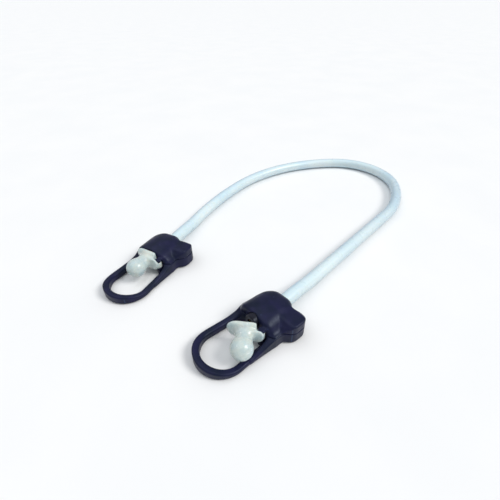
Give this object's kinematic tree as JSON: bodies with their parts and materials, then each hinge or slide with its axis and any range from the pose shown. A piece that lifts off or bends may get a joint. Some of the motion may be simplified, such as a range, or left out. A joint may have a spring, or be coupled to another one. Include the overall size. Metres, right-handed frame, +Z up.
{
  "type": "adapter lead with pull-loop ends",
  "caption": "Short flexible pale two-core adapter lead bent into a horseshoe, with a black oval pull-loop fitting and a hinged ball-knob weather cap over the port at each end.",
  "frame": {"origin": "resting plane under the centre of the near fitting's hub", "axes": "+Z up from the resting plane, +X from the fittings towards the cord's bend, +Y from the near fitting towards the far fitting"},
  "size_m": [0.2548, 0.1292, 0.0148],
  "materials": {
    "grip_plastic": "satin blue-black moulded plastic",
    "cover_plastic": "satin blue-black moulded plastic",
    "cap_plastic": "smooth pale green-white plastic",
    "jacket_vinyl": "smooth pale blue-white vinyl",
    "red_insulation": "smooth vinyl insulation",
    "black_insulation": "smooth vinyl insulation",
    "copper_wire": "bare stranded copper",
    "contact_brass": "turned brass",
    "carrier_plastic": "black moulded insulator",
    "insulator_plastic": "natural nylon",
    "bush_rubber": "soft black rubber",
    "seal_rubber": "soft dark rubber",
    "collar_steel": "plain steel ring",
    "pin_steel": "drawn steel pin",
    "screw_steel": "plated steel"
  },
  "bodies": {
    "near_end": {"near_grip_frame": "grip_plastic", "near_hub_cover": "cover_plastic", "near_housing_screws": "screw_steel", "near_cord_bush": "bush_rubber", "near_stop_collar": "collar_steel", "near_contact_carrier": "carrier_plastic", "near_tip_contact": "contact_brass", "near_ring_contact": "contact_brass", "near_cap_hinge_pin": "pin_steel", "cord_jacket": "jacket_vinyl", "positive_core": "red_insulation", "negative_core": "black_insulation", "positive_conductor": "copper_wire", "negative_conductor": "copper_wire"},
    "far_end": {"far_grip_frame": "grip_plastic", "far_hub_cover": "cover_plastic", "far_housing_screws": "screw_steel", "far_cord_bush": "bush_rubber", "far_stop_collar": "collar_steel", "far_contact_carrier": "carrier_plastic", "far_tip_contact": "contact_brass", "far_plug_insulator": "insulator_plastic", "far_sleeve_contact": "contact_brass", "far_cap_hinge_pin": "pin_steel"},
    "near_cap": {"near_port_cap": "cap_plastic", "near_cap_seal": "seal_rubber"},
    "far_cap": {"far_port_cap": "cap_plastic", "far_cap_seal": "seal_rubber"}
  },
  "joints": [
    {"name": "cord_flex", "type": "hinge", "parent": "near_end", "child": "far_end", "pos_m": [0.19983, 0.03781, 0.004], "axis": [0, 0, 1], "range_deg": [-20, 6], "deforming": ["cord_jacket", "positive_core", "negative_core", "positive_conductor", "negative_conductor"]},
    {"name": "near_cap_hinge", "type": "hinge", "parent": "near_end", "child": "near_cap", "pos_m": [-0.01965, -0.00449, 0.0088], "axis": [0, 0, 1], "range_deg": [-42, 48]},
    {"name": "far_cap_hinge", "type": "hinge", "parent": "far_end", "child": "far_cap", "pos_m": [-0.01757, 0.07513, 0.0088], "axis": [0, 0, 1], "range_deg": [0, 90]}
  ]
}
